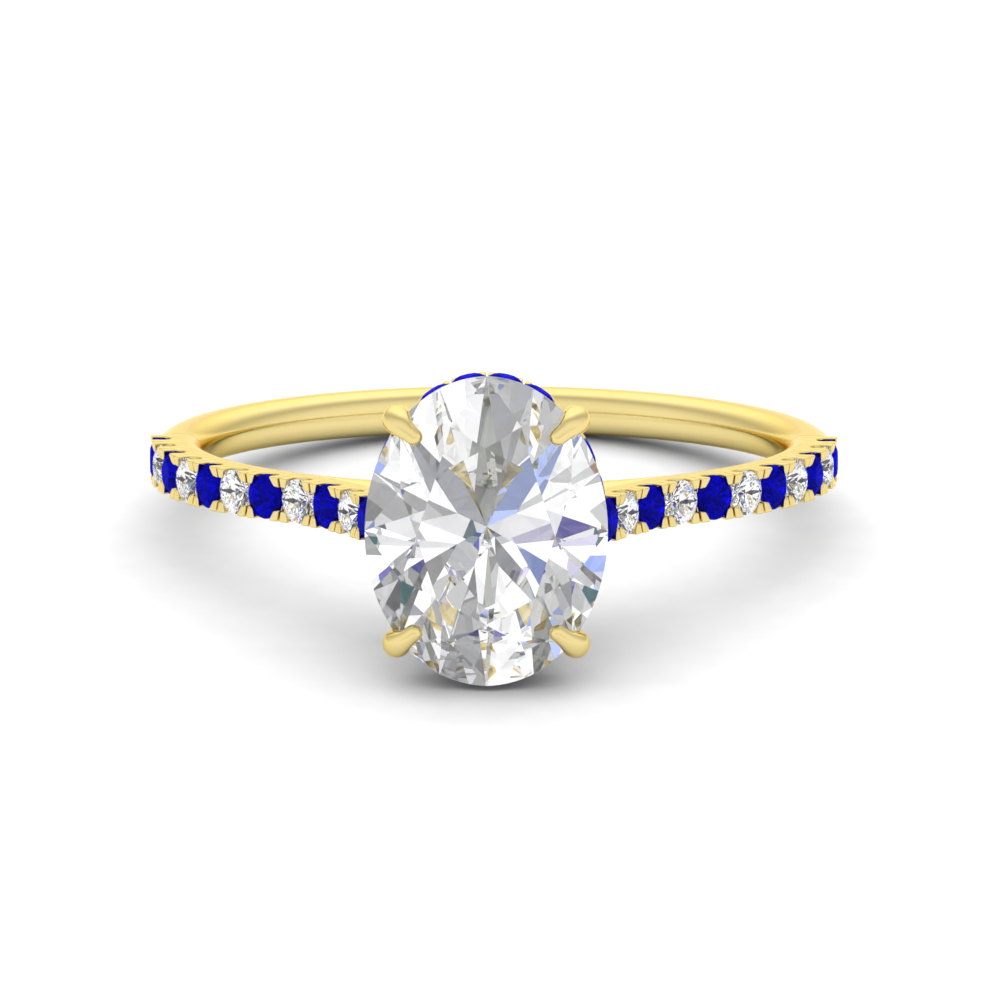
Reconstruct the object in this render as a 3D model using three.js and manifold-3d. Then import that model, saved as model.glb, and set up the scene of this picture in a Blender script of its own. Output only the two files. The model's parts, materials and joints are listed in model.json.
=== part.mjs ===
// An engagement ring in yellow gold, laid on its side.
// An oval brilliant sits in four claws above a hidden halo of sapphires, and cathedral
// shoulders carry a row of alternating sapphires and diamonds on each side.
//
// Ring frame, in millimetres: x runs across the ring, z runs along the finger, and the head
// lies towards -y, so a point's height towards the head is -y. The ring is centred on the
// finger's axis. At the end the whole ring is tipped until it rests on the floor.
import * as THREE from "three";
import { ConvexGeometry } from "three/addons/geometries/ConvexGeometry.js";
import { mergeVertices } from "three/addons/utils/BufferGeometryUtils.js";
import Module from "manifold-3d";

const wasm = await Module();
wasm.setup();

const { degToRad } = THREE.MathUtils;

// ---------------------------------------------------------------- driving dimensions (mm)
const GAP = 0.03; // left between a stone and its seat, and between soldered pieces

const FINGER_RADIUS = 8.46; // US size 6 1/2
const BAND_WIDTH = 1.33; // along the finger
const BAND_OUTER_RADIUS = 9.96; // of the plain back
const BAND_CORNER = 0.58;
const BAND_STEPS = 34;
const PLAIN_START = degToRad(91.2); // where the stones end, measured from the head

const ROW_RADIUS = 9.833; // of the stones' girdles on the round part of the band
const ROW_PITCH = 1.2906;
const ROW_STONES = 11; // on each side, and the one nearest the head is a sapphire
const LAST_STONE_ANGLE = degToRad(86.57);
const SHOULDER_START = degToRad(39); // where the row leaves the circle
const SHOULDER_RADIUS = 8.77; // of the concave rise to the head
const SHOULDER_THICKNESS = 1.2;
const ROW_METAL_DEPTH = 0.08; // of the gold surface below the girdles
const ROW_STONE = { radius: 0.645, crown: 0.2, pavilion: 0.56, girdle: 0.04, table: 0.36 };
const ROW_LEAF = { along: 0.3, across: 0.3, slit: 0.05, top: 0.2, foot: -0.35 };

const CENTRE = { halfWidth: 3.5, halfLength: 4.5, height: 13.6, crown: 1.02, pavilion: 3.0 };
const CENTRE_GIRDLE = 0.12;
const CENTRE_TABLE = 0.57; // of the girdle's size
const CENTRE_STAR = 0.76; // where the star facets end, of the girdle's size
const CENTRE_LOWER_HALF = 0.26; // where the lower half facets end, of the girdle's size

const HALO = { halfWidth: 3.3, halfLength: 4.25, height: 12.4 }; // the girdles' oval
const HALO_STONE = { radius: 0.53, crown: 0.16, pavilion: 0.43, girdle: 0.04, table: 0.3 };
const HALO_END_PITCH = 1.07; // of the four stones at each end of the oval
const HALO_SIDE_PITCH = 1.08; // of the five stones on each side
const HALO_LEAF = { along: 0.25, across: 0.24, slit: 0.05, top: 0.14, foot: -0.2 };
const HALO_RAIL = { depth: 0.54, recess: 0.04, height: 1.08, bevel: 0.06 };

const BASE_RAIL = { halfWidth: 1.75, halfLength: 2.2, height: 9.95, wire: 0.35 };

// A claw's spine: [out from the halo's oval, height, radius], from the base rail to the tip.
// The leg starts on the base rail.
const CLAW_FOOT_RADIUS = 0.3;
const CLAW_SPINE = [
  [0.13, 11.75, 0.34],
  [0.2, 12.5, 0.36],
  [0.33, 13.35, 0.44],
  [0.36, 13.75, 0.48],
  [0.22, 14.1, 0.4],
  [-0.06, 14.28, 0.31],
  [-0.38, 14.36, 0.24],
];

const GOLD = { color: 0xf0d68a, roughness: 0.18, metalness: 1 };
const DIAMOND = { color: 0xf4f6fa, roughness: 0.02, metalness: 0 };
const SAPPHIRE = { color: 0x1a1fae, roughness: 0.03, metalness: 0 };

// ---------------------------------------------------------------- solids
// A closed geometry as a solid that can be joined and cut.
function solid(geometry, matrix = new THREE.Matrix4()) {
  const bare = geometry.clone();
  bare.deleteAttribute("normal");
  bare.deleteAttribute("uv");
  const merged = mergeVertices(bare.applyMatrix4(matrix), 1e-5);
  return new wasm.Manifold(
    new wasm.Mesh({
      numProp: 3,
      vertProperties: merged.attributes.position.array,
      triVerts: new Uint32Array(merged.index.array),
    }),
  );
}

function geometryOf(body) {
  const mesh = body.getMesh();
  const geometry = new THREE.BufferGeometry();
  geometry.setAttribute("position", new THREE.BufferAttribute(mesh.vertProperties, 3));
  geometry.setIndex(new THREE.BufferAttribute(mesh.triVerts, 1));
  geometry.computeVertexNormals();
  return geometry;
}

const joined = (solids) => solids.reduce((whole, piece) => whole.add(piece));

const cutBy = (body, tools) => tools.reduce((rest, tool) => rest.subtract(tool), body);

// Cutting can shave off crumbs: only the body itself is kept.
function withoutCrumbs(body) {
  return body.decompose().reduce((a, b) => (a.volume() > b.volume() ? a : b));
}

function piece(name, geometry, finish) {
  const mesh = new THREE.Mesh(geometry, new THREE.MeshStandardMaterial(finish));
  mesh.name = name;
  return mesh;
}

// ---------------------------------------------------------------- places on the ring
const ringPoint = (x, height, z = 0) => new THREE.Vector3(x, -height, z);

// A place on a row: its centre, the way the row runs, and the way a stone there faces.
// size scales what is put there, and mirrored rows run the other way.
function placed(spot, offset = new THREE.Vector3(), size = 1) {
  const across = new THREE.Vector3().crossVectors(spot.normal, spot.along);
  const basis = new THREE.Matrix4().makeBasis(spot.along, across, spot.normal);
  return basis
    .clone()
    .setPosition(offset.clone().applyMatrix4(basis).add(spot.centre))
    .scale(new THREE.Vector3(size, size, size));
}

// The line of the girdles on the +x side, by distance from the last stone towards the head:
// a circle about the finger, then a concave arc that rises to the head. The result moves
// inwards by depth.
const ROUND_LENGTH = (LAST_STONE_ANGLE - SHOULDER_START) * ROW_RADIUS;

function rowSpot(distance, side = 1, depth = 0) {
  const rise = distance - ROUND_LENGTH;
  const round = rise < 0;
  const angle = round
    ? LAST_STONE_ANGLE - distance / ROW_RADIUS
    : SHOULDER_START + rise / SHOULDER_RADIUS;
  const [sin, cos] = [Math.sin(angle), Math.cos(angle)];
  const startSin = Math.sin(SHOULDER_START);
  const startCos = Math.cos(SHOULDER_START);
  const x = round
    ? ROW_RADIUS * sin
    : (ROW_RADIUS + SHOULDER_RADIUS) * startSin - SHOULDER_RADIUS * sin;
  const height = round
    ? ROW_RADIUS * cos
    : (ROW_RADIUS + SHOULDER_RADIUS) * startCos - SHOULDER_RADIUS * cos;
  return {
    centre: ringPoint(side * (x - depth * sin), height - depth * cos),
    along: ringPoint(-side * cos, sin),
    normal: ringPoint(side * sin, cos),
  };
}

// A spot on an oval round the head, by distance along it from the +x end.
function ovalSpot({ halfWidth, halfLength, height }, distance) {
  const oval = new THREE.EllipseCurve(0, 0, halfWidth, halfLength);
  oval.arcLengthDivisions = 720;
  const turn = THREE.MathUtils.euclideanModulo(distance / oval.getLength(), 1);
  const point = oval.getPointAt(turn);
  const tangent = oval.getTangentAt(turn);
  return {
    centre: ringPoint(point.x, height, point.y),
    along: new THREE.Vector3(tangent.x, 0, tangent.y),
    normal: new THREE.Vector3(tangent.y, 0, -tangent.x),
  };
}

const ovalLength = (oval) =>
  new THREE.EllipseCurve(0, 0, oval.halfWidth, oval.halfLength).getLength();
const HALO_LENGTH = ovalLength(HALO);
const BASE_SHARE = ovalLength(BASE_RAIL) / HALO_LENGTH; // of a distance along the halo
const HALO_SIDE_END = 2.5 * HALO_SIDE_PITCH; // from the middle of a side to the end of its row
const HALO_END_END = 2 * HALO_END_PITCH; // from the middle of an end to the end of its row
const CLAW_DISTANCE = (HALO_SIDE_END + HALO_LENGTH / 4 - HALO_END_END) / 2;

// ---------------------------------------------------------------- stones
function polygon(count, radius, height, turned = 0) {
  return Array.from({ length: count }, (_, i) => {
    const angle = ((i + turned) * 2 * Math.PI) / count;
    return new THREE.Vector3(radius * Math.cos(angle), radius * Math.sin(angle), height);
  });
}

// A single-cut stone: table, eight crown facets, girdle and eight pavilion facets.
function singleCut({ radius, crown, pavilion, girdle, table }) {
  return new ConvexGeometry([
    ...polygon(8, table, crown, 0.5),
    ...polygon(8, radius, girdle / 2, 0.5),
    ...polygon(8, radius, -girdle / 2, 0.5),
    new THREE.Vector3(0, 0, -pavilion),
  ]);
}

// An oval brilliant: a round brilliant of radius 1 stretched to the oval. Kites run from the
// table's corners to the girdle, and the main pavilion facets from the girdle to the culet.
function ovalBrilliant() {
  const { halfWidth, halfLength, crown, pavilion } = CENTRE;
  const half = CENTRE_GIRDLE / 2;
  const kiteSide = Math.cos(Math.PI / 8);
  const starHeight =
    half + ((crown - half) * (1 - CENTRE_STAR * kiteSide)) / (1 - CENTRE_TABLE);
  const lowerHeight = -half - (pavilion - half) * (1 - CENTRE_LOWER_HALF * kiteSide);
  const round = new ConvexGeometry([
    ...polygon(8, CENTRE_TABLE, crown),
    ...polygon(8, CENTRE_STAR, starHeight, 0.5),
    ...polygon(16, 1, half),
    ...polygon(16, 1, -half),
    ...polygon(8, CENTRE_LOWER_HALF, lowerHeight, 0.5),
    new THREE.Vector3(0, 0, -pavilion),
  ]);
  return round.scale(halfLength, halfWidth, 1);
}

const centreSpot = {
  centre: ringPoint(0, CENTRE.height),
  along: new THREE.Vector3(0, 0, 1),
  normal: ringPoint(0, 1),
};

// A stone's seat is the stone's own shape, larger by the gap at its pavilion facets.
const seatSize = ({ radius, pavilion }) =>
  1 + (GAP * Math.hypot(radius, pavilion)) / (radius * pavilion);

const rowStone = singleCut(ROW_STONE);
const haloStone = singleCut(HALO_STONE);
const centreStone = ovalBrilliant();

const rowSpots = (side) =>
  Array.from({ length: ROW_STONES }, (_, i) => rowSpot((ROW_STONES - 1 - i) * ROW_PITCH, side));

// Distances round the halo of its stones: five on a side, four at an end, and so on round.
const haloDistances = [0, 1, 2, 3].flatMap((quarter) => {
  const onSide = quarter % 2 === 0;
  const count = onSide ? 5 : 4;
  const pitch = onSide ? HALO_SIDE_PITCH : HALO_END_PITCH;
  const middle = (quarter * HALO_LENGTH) / 4;
  return Array.from({ length: count }, (_, i) => middle + (i - (count - 1) / 2) * pitch);
});

const seats = (spots, stone, size) => spots.map((spot) => solid(stone, placed(spot, undefined, size)));

const rowSeats = seats([...rowSpots(1), ...rowSpots(-1)], rowStone, seatSize(ROW_STONE));
const haloSpots = haloDistances.map((distance) => ovalSpot(HALO, distance));
const haloSeats = seats(haloSpots, haloStone, seatSize(HALO_STONE));
const centreSeat = solid(
  centreStone,
  placed(centreSpot, undefined, seatSize({ radius: CENTRE.halfWidth, pavilion: CENTRE.pavilion })),
);

// ---------------------------------------------------------------- prongs
// One leaf of a split prong: a small block that tapers to its top.
function leaf({ along, across, top, foot }) {
  const taper = 0.78;
  const layer = (length, width, height) =>
    [-1, 1].flatMap((i) =>
      [-1, 1].map((j) => new THREE.Vector3((i * length) / 2, (j * width) / 2, height)),
    );
  return new ConvexGeometry([
    ...layer(along, across, foot),
    ...layer(along * taper, across * taper, top),
  ]);
}

// Leaves on both edges of a row at one spot. ways says on which sides of the spot they stand:
// [-1, 1] between two stones, or one of them at a row's end.
function prongs(spot, shape, edge, ways) {
  const block = leaf(shape);
  return ways.flatMap((way) =>
    [-1, 1].map((rim) => {
      const along = (way * (shape.slit + shape.along)) / 2;
      const across = rim * (edge - shape.across / 2);
      return solid(block, placed(spot, new THREE.Vector3(along, across, 0)));
    }),
  );
}

function rowProngs(side) {
  const between = Array.from({ length: ROW_STONES }, (_, i) => i - 0.5);
  return between.flatMap((step) =>
    prongs(rowSpot(step * ROW_PITCH, side), ROW_LEAF, BAND_WIDTH / 2, step < 0 ? [1] : [-1, 1]),
  );
}

function haloProngs() {
  return [0, 1, 2, 3].flatMap((quarter) => {
    const onSide = quarter % 2 === 0;
    const count = onSide ? 5 : 4;
    const pitch = onSide ? HALO_SIDE_PITCH : HALO_END_PITCH;
    const middle = (quarter * HALO_LENGTH) / 4;
    return Array.from({ length: count + 1 }, (_, i) => {
      const distance = middle + (i - count / 2) * pitch;
      const ways = i === 0 ? [1] : i === count ? [-1] : [-1, 1];
      return prongs(ovalSpot(HALO, distance), HALO_LEAF, HALO_RAIL.height / 2, ways);
    }).flat();
  });
}

// ---------------------------------------------------------------- gold
// A rounded section for a swept band, with +y outwards. Each corner is a quarter circle.
function roundedSection(width, height, outerCorner, innerCorner = outerCorner) {
  const [x, y] = [width / 2, height / 2];
  const shape = new THREE.Shape();
  shape.absarc(x - outerCorner, y - outerCorner, outerCorner, 0, Math.PI / 2);
  shape.absarc(outerCorner - x, y - outerCorner, outerCorner, Math.PI / 2, Math.PI);
  shape.absarc(innerCorner - x, innerCorner - y, innerCorner, Math.PI, 1.5 * Math.PI);
  shape.absarc(x - innerCorner, innerCorner - y, innerCorner, 1.5 * Math.PI, 2 * Math.PI);
  return shape;
}

// Sweeps a section along a flat curve that runs with the section's +y side on its left.
function swept(section, pointAt, steps, curveSegments) {
  const extrudePath = new THREE.Curve();
  extrudePath.getPoint = pointAt;
  return solid(new THREE.ExtrudeGeometry(section, { steps, curveSegments, extrudePath }));
}

// A stretch of hoop between two angles from the head, from the finger hole out to a radius.
function hoop(outerRadius, fromAngle, toAngle, grow = 0) {
  const inner = FINGER_RADIUS - grow;
  const outer = outerRadius + grow;
  const middle = (inner + outer) / 2;
  const section = roundedSection(BAND_WIDTH + 2 * grow, outer - inner, BAND_CORNER);
  return swept(
    section,
    (t) => {
      const angle = fromAngle + t * (toAngle - fromAngle);
      return ringPoint(middle * Math.sin(angle), middle * Math.cos(angle));
    },
    BAND_STEPS,
    2,
  );
}

const FRONT_OUTER_RADIUS = ROW_RADIUS - ROW_METAL_DEPTH;
const HALO_RAIL_FOOT = HALO.height - HALO_RAIL.height / 2;

// A shoulder rises from the hoop to the foot of the halo rail, under the row of stones.
function shoulder(side) {
  const overlap = 4;
  const start = ROUND_LENGTH - overlap;
  const end = (ROW_STONES - 0.4) * ROW_PITCH;
  const depth = ROW_METAL_DEPTH + SHOULDER_THICKNESS / 2;
  const innerCorner = 0.4;
  const section = roundedSection(BAND_WIDTH, SHOULDER_THICKNESS, 0.16, innerCorner);
  const pointAt = (t) => {
    const distance = side > 0 ? end + t * (start - end) : start + t * (end - start);
    return rowSpot(distance, side, depth).centre;
  };
  return swept(section, pointAt, 12, 1);
}

// Everything above a height towards the head.
function above(height) {
  const size = 20;
  const box = new THREE.BoxGeometry(size, size, size);
  return solid(box.translate(0, -height - size / 2, 0));
}

function makeShank() {
  const gold = joined([
    hoop(BAND_OUTER_RADIUS, PLAIN_START, 2 * Math.PI - PLAIN_START),
    hoop(FRONT_OUTER_RADIUS, -PLAIN_START - 0.02, PLAIN_START + 0.02),
    shoulder(1),
    shoulder(-1),
    ...rowProngs(1),
    ...rowProngs(-1),
  ]);
  return withoutCrumbs(cutBy(gold, [above(HALO_RAIL_FOOT - GAP), ...rowSeats]));
}

// A claw is a chain of balls, each joined to the next by their common hull.
function claw(distance, grow = 0) {
  const foot = ovalSpot(BASE_RAIL, distance * BASE_SHARE);
  const top = ovalSpot(HALO, distance);
  const spine = CLAW_SPINE.map(([out, height, radius]) => {
    const centre = top.centre.clone().addScaledVector(top.normal, out);
    centre.y = -height;
    return [centre, radius];
  });
  const balls = [[foot.centre, CLAW_FOOT_RADIUS], ...spine].map(([centre, radius]) => {
    const ball = new THREE.IcosahedronGeometry(radius + grow, 1).translate(...centre);
    return Array.from({ length: ball.attributes.position.count }, (_, i) =>
      new THREE.Vector3().fromBufferAttribute(ball.attributes.position, i),
    );
  });
  const links = balls.slice(1).map((ball, i) => solid(new ConvexGeometry([...balls[i], ...ball])));
  return joined(links);
}

const CLAWS = {
  claw_right_upper: CLAW_DISTANCE,
  claw_left_upper: HALO_LENGTH / 2 - CLAW_DISTANCE,
  claw_left_lower: HALO_LENGTH / 2 + CLAW_DISTANCE,
  claw_right_lower: HALO_LENGTH - CLAW_DISTANCE,
};

const clawRooms = Object.values(CLAWS).map((distance) => claw(distance, GAP));

const makeClaw = (distance) => withoutCrumbs(claw(distance).subtract(centreSeat));

// The halo rail: an oval band with the halo's seats, its split prongs, and notches for the
// claws and for the first stone of each shoulder.
function makeHaloRail() {
  const { depth, recess, height, bevel } = HALO_RAIL;
  const outline = new THREE.Shape();
  outline.absellipse(0, 0, HALO.halfWidth - recess, HALO.halfLength - recess, 0, 2 * Math.PI);
  const inside = new THREE.Path();
  const inset = recess + depth;
  inside.absellipse(0, 0, HALO.halfWidth - inset, HALO.halfLength - inset, 0, 2 * Math.PI, true);
  outline.holes.push(inside);
  const band = new THREE.ExtrudeGeometry(outline, {
    depth: height - 2 * bevel,
    curveSegments: 30,
    bevelThickness: bevel,
    bevelSize: bevel,
    bevelOffset: -bevel,
    bevelSegments: 1,
  });
  band.translate(0, 0, bevel - height / 2).rotateX(Math.PI / 2).translate(0, -HALO.height, 0);
  const gold = joined([solid(band), ...haloProngs()]);
  return withoutCrumbs(cutBy(gold, [...haloSeats, ...rowSeats, ...clawRooms]));
}

// The base rail: an oval wire that sits astride the bridge and ties the claw legs together.
function makeBaseRail() {
  const { halfWidth, halfLength, height, wire } = BASE_RAIL;
  const ring = new THREE.TorusGeometry(1, wire, 8, 32);
  const around = (halfWidth + halfLength) / 2;
  ring.scale(halfWidth, halfLength, around).scale(1, 1, 1 / around);
  ring.rotateX(Math.PI / 2).translate(0, -height, 0);
  const bridgeRoom = hoop(FRONT_OUTER_RADIUS, -SHOULDER_START, SHOULDER_START, GAP);
  return withoutCrumbs(cutBy(solid(ring), [bridgeRoom, ...clawRooms]));
}

// ---------------------------------------------------------------- the ring
const ring = new THREE.Group();

function addStone(name, geometry, spot, finish) {
  const stone = piece(name, geometry, finish);
  stone.applyMatrix4(placed(spot));
  ring.add(stone);
}

ring.add(piece("shank", geometryOf(makeShank()), GOLD));
ring.add(piece("halo_rail", geometryOf(makeHaloRail()), GOLD));
ring.add(piece("base_rail", geometryOf(makeBaseRail()), GOLD));
for (const [name, distance] of Object.entries(CLAWS)) {
  ring.add(piece(name, geometryOf(makeClaw(distance)), GOLD));
}
addStone("centre_diamond", centreStone, centreSpot, DIAMOND);
for (const [sideName, side] of Object.entries({ left: -1, right: 1 })) {
  rowSpots(side).forEach((spot, i) => {
    const kind = i % 2 === 0 ? "sapphire" : "diamond";
    const number = Math.floor(i / 2) + 1;
    const finish = kind === "sapphire" ? SAPPHIRE : DIAMOND;
    addStone(`${sideName}_${kind}_${number}`, rowStone, spot, finish);
  });
}
haloSpots.forEach((spot, i) => {
  const number = String(i + 1).padStart(2, "0");
  addStone(`halo_sapphire_${number}`, haloStone, spot, SAPPHIRE);
});

// ---------------------------------------------------------------- at rest on the floor
function worldPoints(object) {
  object.updateMatrixWorld(true);
  const points = [];
  object.traverse((o) => {
    if (!o.isMesh) return;
    const { position } = o.geometry.attributes;
    for (let i = 0; i < position.count; i += 1) {
      points.push(new THREE.Vector3().fromBufferAttribute(position, i).applyMatrix4(o.matrixWorld));
    }
  });
  return points;
}

// The tip at which the lowest point of the head and the lowest point of the back are level.
function restingTip(points) {
  const head = points.filter((p) => p.y < -FINGER_RADIUS);
  const back = points.filter((p) => p.y > 0);
  const lowest = (part, tip) =>
    Math.min(...part.map((p) => p.z * Math.cos(tip) - p.y * Math.sin(tip)));
  let [low, high] = [0, Math.PI / 6];
  for (let i = 0; i < 40; i += 1) {
    const tip = (low + high) / 2;
    if (lowest(head, tip) < lowest(back, tip)) low = tip;
    else high = tip;
  }
  return (low + high) / 2;
}

ring.rotation.x = -restingTip(worldPoints(ring));
const resting = new THREE.Box3().setFromPoints(worldPoints(ring));
const middle = resting.getCenter(new THREE.Vector3());
ring.position.set(-middle.x, -middle.y, -resting.min.z);

const group = new THREE.Group();
group.add(ring);

export default group;
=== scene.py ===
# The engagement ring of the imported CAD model, with finished gold and cut stones.
#
# Shapes are worked out in millimetres in the ring's own frame: x runs across the ring, z along
# the finger, and the head lies towards -y, so a height towards the head is -y. The CAD record's
# finger_hole mount says where that frame stands on the floor.
import json
import math

import bmesh
import bpy
import numpy as np
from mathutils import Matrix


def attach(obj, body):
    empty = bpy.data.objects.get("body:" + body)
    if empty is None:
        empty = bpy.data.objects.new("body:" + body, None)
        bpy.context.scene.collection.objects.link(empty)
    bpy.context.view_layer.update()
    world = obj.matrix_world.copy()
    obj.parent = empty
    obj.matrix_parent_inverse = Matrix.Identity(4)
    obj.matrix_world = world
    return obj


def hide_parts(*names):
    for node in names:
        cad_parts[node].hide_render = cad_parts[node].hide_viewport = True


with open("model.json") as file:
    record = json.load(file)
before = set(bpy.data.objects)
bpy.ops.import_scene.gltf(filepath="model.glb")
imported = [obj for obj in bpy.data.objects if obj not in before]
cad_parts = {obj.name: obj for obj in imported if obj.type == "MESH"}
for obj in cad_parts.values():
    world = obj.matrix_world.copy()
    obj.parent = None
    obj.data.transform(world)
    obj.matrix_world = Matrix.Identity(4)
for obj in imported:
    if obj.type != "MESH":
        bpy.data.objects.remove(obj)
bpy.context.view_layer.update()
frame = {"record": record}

import openvdb
from mathutils import Matrix, Vector

MM = 0.001

# ------------------------------------------------------------------ dimensions (mm, degrees)
FINGER_RADIUS = 8.46
BAND_WIDTH = 1.32
BAND_OUTER_RADIUS = 9.95
BAND_CORNER = 0.6
PLAIN_START = math.radians(91.2)  # where the stones end, from the head

ROW_RADIUS = 9.833  # of the girdles on the round part of the band
ROW_PITCH = 1.2906
ROW_STONES = 11
LAST_STONE_ANGLE = math.radians(86.57)
SHOULDER_START = math.radians(39)
SHOULDER_RADIUS = 8.77
SHOULDER_DEPTH = 1.28  # from the girdles to the shoulder's inner face
ROW_STONE = dict(radius=0.645, crown=0.195, pavilion=0.56, girdle=0.02)

CENTRE = dict(half_width=3.5, half_length=4.499, height=13.6, crown=1.02, pavilion=3.0, girdle=0.075)

HALO = dict(half_width=3.3, half_length=4.25, height=12.4)
HALO_STONE = dict(radius=0.53, crown=0.16, pavilion=0.43, girdle=0.018)
HALO_END_PITCH = 1.07
HALO_SIDE_PITCH = 1.08
HALO_RAIL_HEIGHT = 1.08
HALO_RAIL_DEPTH = 0.58

# Facet proportions, as parts of the stone's radius.
CENTRE_CUT = dict(table=0.57, star=0.76, lower=0.26)
SMALL_CUT = dict(table=0.56, star=0.76, lower=0.3)

# The bridge runs under the head and is thinner outside near its ends, clear of the stones.
BRIDGE_END = math.radians(40)  # from its middle
BRIDGE_INNER_RADIUS = FINGER_RADIUS + 0.005
BRIDGE_OUTER_RADIUS = 9.75
BRIDGE_WIDTH = BAND_WIDTH - 0.01
BRIDGE_CORNER = 0.59
BRIDGE_THINNING = 0.48
THIN_TO = math.radians(10)  # from an end, the whole thinning
THIN_OVER = math.radians(5)  # then full thickness again

BASE_RAIL = dict(half_width=1.75, half_length=2.2, height=9.95, wire=0.33)

# A claw's spine: [out from the halo's oval, height, radius].
CLAW_FOOT_RADIUS = 0.29
CLAW_SPINE = [
    (0.1, 11.75, 0.22),
    (0.2, 12.5, 0.24),
    (0.3, 13.25, 0.33),
    (0.35, 13.7, 0.41),
    (0.21, 14.06, 0.35),
    (-0.04, 14.25, 0.275),
    (-0.3, 14.32, 0.25),
]

# ------------------------------------------------------------------ the ring's frame
mounts = {mount["name"]: mount for mount in frame["record"]["mounts"]}
RING_CENTRE = Vector(mounts["finger_hole"]["pos_m"])
FINGER_AXIS = Vector(mounts["finger_hole"]["axis"]).normalized()
ACROSS = Vector((1, 0, 0))
AWAY = FINGER_AXIS.cross(ACROSS)
RING_TURN = Matrix((ACROSS, AWAY, FINGER_AXIS)).transposed()
TURN = np.array(RING_TURN)
CENTRE_M = np.array(RING_CENTRE)


def to_world(points):
    """Ring-frame millimetres to the row frame's metres."""
    return np.asarray(points, float) @ TURN.T * MM + CENTRE_M


# ------------------------------------------------------------------ camera (metres)
CAMERA_ELEVATION = math.radians(9.02)  # above the ring's own plane
CAMERA_AZIMUTH = math.radians(0.93)
CAMERA_DISTANCE = 1.0
CAMERA_FIELD = 0.02915  # width of the view at the ring
CAMERA_AIM_RIGHT = 0.000173
CAMERA_AIM_UP = -0.001234


def make_camera():
    """The photograph's view: facing the head, a little above the ring's plane."""
    cos_e, sin_e = math.cos(CAMERA_ELEVATION), math.sin(CAMERA_ELEVATION)
    cos_a, sin_a = math.cos(CAMERA_AZIMUTH), math.sin(CAMERA_AZIMUTH)
    back = RING_TURN @ Vector((sin_a * cos_e, -cos_a * cos_e, sin_e))
    right = RING_TURN @ Vector((cos_a, sin_a, 0))
    up = back.cross(right)
    data = bpy.data.cameras.new("camera")
    data.sensor_width = 36
    data.lens = data.sensor_width * CAMERA_DISTANCE / CAMERA_FIELD
    data.clip_start, data.clip_end = 0.01, 10
    camera = bpy.data.objects.new("camera", data)
    target = RING_CENTRE + right * CAMERA_AIM_RIGHT + up * CAMERA_AIM_UP
    turn = Matrix((right, up, back)).transposed().to_4x4()
    camera.matrix_world = Matrix.Translation(target + back * CAMERA_DISTANCE) @ turn
    bpy.context.scene.collection.objects.link(camera)
    bpy.context.scene.camera = camera


# ------------------------------------------------------------------ meshes
def new_object(name, vertices, faces, smooth=True):
    mesh = bpy.data.meshes.new(name)
    mesh.from_pydata([tuple(v) for v in vertices], [], [tuple(int(i) for i in f) for f in faces])
    mesh.validate()
    mesh.update()
    mesh.polygons.foreach_set("use_smooth", [smooth] * len(mesh.polygons))
    obj = bpy.data.objects.new(name, mesh)
    bpy.context.scene.collection.objects.link(obj)
    return obj


def finish_piece(obj, material, slot, *nodes):
    """Gives a piece its material, puts it under the root and hides the CAD nodes it stands in for."""
    obj.data.materials.append(material)
    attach(obj, "root")
    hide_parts(*nodes)
    return obj


def signed_volume(points, quads):
    """Volume inside a closed mesh of quads; negative when they face in."""
    a, b, c, d = (points[quads[:, i]] for i in range(4))
    first = np.einsum("ij,ij->i", a, np.cross(b, c))
    second = np.einsum("ij,ij->i", a, np.cross(c, d))
    return float((first + second).sum() / 6)


def surface_of(field, axes, place):
    """The zero surface of a sampled field as ring-frame points and quads facing out.
    axes are the sample positions along each side, and place maps a grid point to the ring."""
    steps = np.array([axis[1] - axis[0] for axis in axes])
    lows = np.array([axis[0] for axis in axes])
    limit = 4 * float(steps.max())
    grid = openvdb.FloatGrid(background=limit)
    grid.copyFromArray(np.clip(field, -limit, limit).astype(np.float32))
    points, quads = grid.convertToQuads(isovalue=0.0)
    placed = place(points.astype(float) * steps + lows)
    if signed_volume(placed, quads) < 0:
        quads = quads[:, ::-1]
    return placed, quads


def swept_ring(section, stations, closed):
    """Sections, each a loop of points, joined along a list of stations. Open sweeps are capped,
    with the caps' own points so that shading stays crisp at the rims."""
    sections = [section(station) for station in stations]
    count, around = len(sections), len(sections[0])
    faces = []
    for i in range(count if closed else count - 1):
        near, far = i * around, ((i + 1) % count) * around
        for j in range(around):
            k = (j + 1) % around
            faces.append((near + j, near + k, far + k, far + j))
    points = np.concatenate(sections)
    flip = signed_volume(points, np.array(faces)) < 0
    if not closed:
        first_cap, last_cap = count * around, (count + 1) * around
        faces.append(tuple(range(first_cap + around - 1, first_cap - 1, -1)))
        faces.append(tuple(range(last_cap, last_cap + around)))
        points = np.concatenate([points, sections[0], sections[-1]])
    if flip:
        faces = [face[::-1] for face in faces]
    return points, faces


# ------------------------------------------------------------------ lines on the ring
ROUND_LENGTH = (LAST_STONE_ANGLE - SHOULDER_START) * ROW_RADIUS


def row_line(distance, out, across, side):
    """Points beside the line of the girdles: distance along it from the last stone towards the
    head, out from it, and across the band."""
    rise = distance - ROUND_LENGTH
    round_part = rise < 0
    angle = np.where(
        round_part,
        LAST_STONE_ANGLE - distance / ROW_RADIUS,
        SHOULDER_START + rise / SHOULDER_RADIUS,
    )
    sin, cos = np.sin(angle), np.cos(angle)
    reach = ROW_RADIUS + SHOULDER_RADIUS
    x = np.where(round_part, ROW_RADIUS * sin, reach * math.sin(SHOULDER_START) - SHOULDER_RADIUS * sin)
    height = np.where(
        round_part, ROW_RADIUS * cos, reach * math.cos(SHOULDER_START) - SHOULDER_RADIUS * cos
    )
    parts = np.broadcast_arrays(side * (x + out * sin), -(height + out * cos), across)
    return np.stack(parts, axis=-1)


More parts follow.
